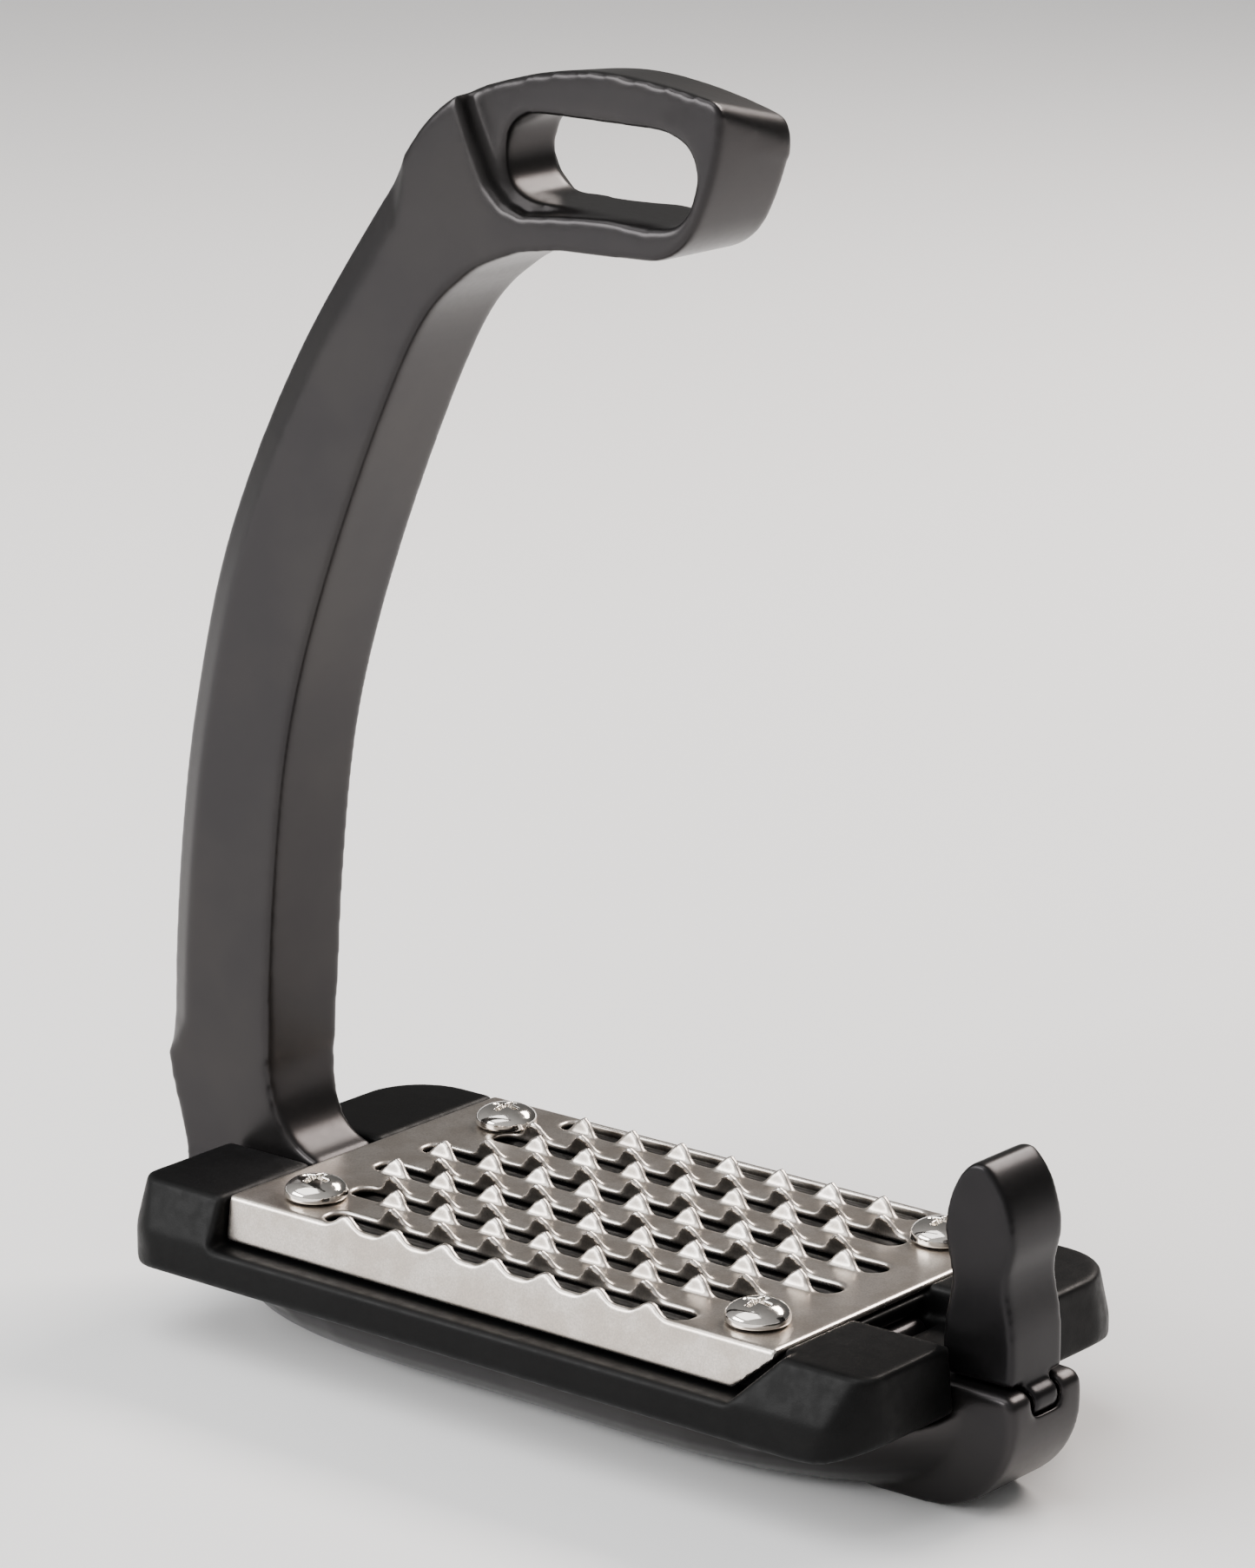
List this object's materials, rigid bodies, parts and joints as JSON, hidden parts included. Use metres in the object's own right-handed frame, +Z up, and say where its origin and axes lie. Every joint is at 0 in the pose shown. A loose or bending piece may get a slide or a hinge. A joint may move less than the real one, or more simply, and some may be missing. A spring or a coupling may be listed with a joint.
{
  "type": "stirrup iron",
  "caption": "Open-sided safety stirrup with a curved arm, offset leather eye, rubber tread under a toothed steel plate, and a spring-return release peg.",
  "frame": {"origin": "on the flat underside, under the middle of the part's outline seen from above", "axes": "+Z up to the leather eye, +X to the open side with the peg, -Y to the front, the broad face of the arm"},
  "size_m": [0.1619, 0.07, 0.1967],
  "materials": {
    "frame_alloy": "dark grey satin anodised, worn bright along its edges",
    "peg_alloy": "dark grey satin anodised",
    "tread_rubber": "matte moulded black",
    "tread_steel": "fine-grained warm nickel satin",
    "fastener_steel": "polished",
    "spring_steel": "drawn wire"
  },
  "bodies": {
    "stirrup": {"frame": "frame_alloy", "tread_pad": "tread_rubber", "tread_plate": "tread_steel", "tread_screw_front_left": "fastener_steel", "tread_screw_front_right": "fastener_steel", "tread_screw_back_left": "fastener_steel", "tread_screw_back_right": "fastener_steel", "tread_insert_front_left": "fastener_steel", "tread_insert_front_right": "fastener_steel", "tread_insert_back_left": "fastener_steel", "tread_insert_back_right": "fastener_steel", "hinge_pin": "fastener_steel", "spring_screw": "fastener_steel", "return_spring": "spring_steel"},
    "peg": {"release_peg": "peg_alloy"},
    "plunger": {"return_plunger": "fastener_steel"}
  },
  "joints": [
    {"name": "peg_release", "type": "hinge", "parent": "stirrup", "child": "peg", "pos_m": [0.07863, -0.0043, 0.0167], "axis": [0, 1, 0], "range_deg": [0, 50], "stiffness_Nm_per_rad": 0.25, "springref_deg": -17.19},
    {"name": "plunger_slide", "type": "slide", "parent": "stirrup", "child": "plunger", "axis": [-1, 0, 0], "range_m": [0, 0.0045], "deforming": ["return_spring"]}
  ],
  "couplings": [
    {"joint": "plunger_slide", "follows": "peg_release", "m_per_rad": 0.0051}
  ]
}
